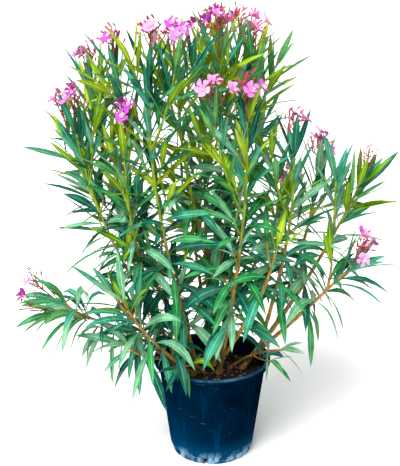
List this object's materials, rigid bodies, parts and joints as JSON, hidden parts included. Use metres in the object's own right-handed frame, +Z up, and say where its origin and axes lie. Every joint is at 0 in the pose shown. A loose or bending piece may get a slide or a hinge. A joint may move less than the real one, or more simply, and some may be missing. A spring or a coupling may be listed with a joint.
{
  "type": "potted oleander shrub",
  "caption": "Flowering oleander shrub in a round dark plastic nursery pot: upright canes in potting mix, narrow leaves in whorls, and pink flower heads at the tips.",
  "frame": {"origin": "centre of the pot's flat underside", "axes": "+Z up, -Y towards the side that the plant is seen from, +X to that viewer's right"},
  "size_m": [0.9488, 0.7168, 1.149],
  "materials": {
    "pot_plastic": "satin, scuffed",
    "soil_mix": "rough",
    "bark": "matte",
    "leaves": "satin"
  },
  "bodies": {
    "root": {"pot": "pot_plastic", "soil": "soil_mix", "bough_back_left": "bark", "bough_back_low": "bark", "bough_back_low_right": "bark", "bough_front_low": "bark", "bough_left_inner": "bark", "bough_left_skirt": "bark", "bough_middle": "bark", "bough_right_inner": "bark", "bough_right_low": "bark", "bough_right_shoulder": "bark", "bough_right_top": "bark", "cane_back": "bark", "cane_back_low_left": "bark", "cane_back_right": "bark", "cane_centre": "bark", "cane_front_left": "bark", "cane_front_left_low": "bark", "cane_front_right": "bark", "cane_front_sucker": "bark", "cane_left": "bark", "cane_left_low": "bark", "cane_right": "bark", "cane_right_sucker": "bark", "foliage_back": "leaves", "foliage_back_left": "leaves", "foliage_back_low": "leaves", "foliage_back_low_left": "leaves", "foliage_back_low_right": "leaves", "foliage_back_right": "leaves", "foliage_centre": "leaves", "foliage_front_left": "leaves", "foliage_front_left_low": "leaves", "foliage_front_low": "leaves", "foliage_front_right": "leaves", "foliage_front_sucker": "leaves", "foliage_left": "leaves", "foliage_left_inner": "leaves", "foliage_left_low": "leaves", "foliage_left_skirt": "leaves", "foliage_middle": "leaves", "foliage_right": "leaves", "foliage_right_inner": "leaves", "foliage_right_low": "leaves", "foliage_right_shoulder": "leaves", "foliage_right_sucker": "leaves", "foliage_right_top": "leaves"}
  },
  "joints": []
}
